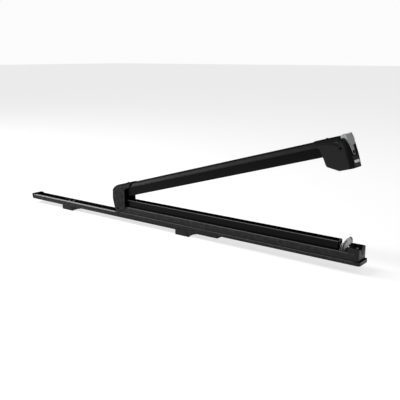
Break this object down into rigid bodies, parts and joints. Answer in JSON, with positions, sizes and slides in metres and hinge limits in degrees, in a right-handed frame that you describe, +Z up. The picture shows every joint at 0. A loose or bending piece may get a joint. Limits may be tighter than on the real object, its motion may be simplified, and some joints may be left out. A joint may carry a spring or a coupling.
{
  "type": "ski carrier",
  "caption": "Roof-bar ski and snowboard carrier: a padded clamping arm with a lockable latch on a carriage that slides out along a fixed rail",
  "frame": {"origin": "Midway between the two feet, on the plane of their undersides (the top of the roof bars), on the carrier's centre line", "axes": "+X along the rail towards the latch end, the way the carriage slides out; +Y across the rail; +Z up"},
  "size_m": [1.217, 0.0488, 0.3283],
  "materials": {
    "black_aluminium": "satin",
    "black_casting": "satin",
    "black_plastic": "satin",
    "gloss_panel": "gloss",
    "rubber": "matte",
    "steel": "satin",
    "dark_steel": "satin",
    "zinc": "satin",
    "silver_plastic": "satin",
    "white_plastic": "satin",
    "pale_plastic": "gloss",
    "bezel_plastic": "matte",
    "oxide_steel": "satin"
  },
  "bodies": {
    "rail": {"base_rail": "black_aluminium", "rail_end_cap": "bezel_plastic", "rail_stop": "steel", "stop_screw": "steel", "mounting_foot_left": "black_plastic", "mounting_foot_right": "black_plastic", "clamp_plates": "steel", "foot_screws": "steel"},
    "carriage": {"carriage_profile": "black_aluminium", "glide_strips": "white_plastic", "carriage_stop": "black_plastic", "lower_pad": "rubber", "hinge_block": "black_casting", "hinge_bushes": "white_plastic", "hinge_washers": "white_plastic", "block_screws": "steel", "carriage_end_cap": "black_plastic", "end_cap_screws": "steel", "catch_bracket": "steel", "catch_pin": "steel", "catch_spring": "steel", "catch_buffer": "rubber"},
    "catch": {"toothed_catch": "zinc", "catch_rivets": "dark_steel"},
    "arm": {"arm_profile": "black_aluminium", "upper_pad": "rubber", "hinge_bracket": "black_casting", "hinge_pin": "oxide_steel", "arm_collar": "black_plastic", "top_plugs": "black_plastic", "latch_housing": "black_plastic", "guide_pin": "oxide_steel", "end_panel": "gloss_panel", "blank_badge": "pale_plastic", "housing_screws": "dark_steel", "button_spring": "steel", "end_bezel": "bezel_plastic"},
    "button": {"push_button": "silver_plastic", "latch_slider": "steel", "latch_bar": "steel"},
    "lock": {"lock_cylinder": "dark_steel", "lock_cam": "steel"}
  },
  "joints": [
    {"name": "carriage_slide", "type": "slide", "parent": "rail", "child": "carriage", "axis": [1, 0, 0], "range_m": [-0.397, 0]},
    {"name": "arm_hinge", "type": "hinge", "parent": "carriage", "child": "arm", "pos_m": [-0.0022, 0, 0.0441], "axis": [0, -1, 0], "range_deg": [-16, 44]},
    {"name": "catch_pivot", "type": "hinge", "parent": "carriage", "child": "catch", "pos_m": [0.7302, 0, 0.0415], "axis": [0, 1, 0], "range_deg": [0, 5], "stiffness_Nm_per_rad": 0.5, "springref_deg": -11.46},
    {"name": "button_press", "type": "slide", "parent": "arm", "child": "button", "axis": [-0.9613, 0, -0.2756], "range_m": [0, 0.004], "stiffness_N_per_m": 800, "springref_m": -0.004, "deforming": ["button_spring"]},
    {"name": "lock_turn", "type": "hinge", "parent": "button", "child": "lock", "pos_m": [0.74014, 0, 0.28505], "axis": [0.9613, 0, 0.2756], "range_deg": [0, 90]}
  ]
}
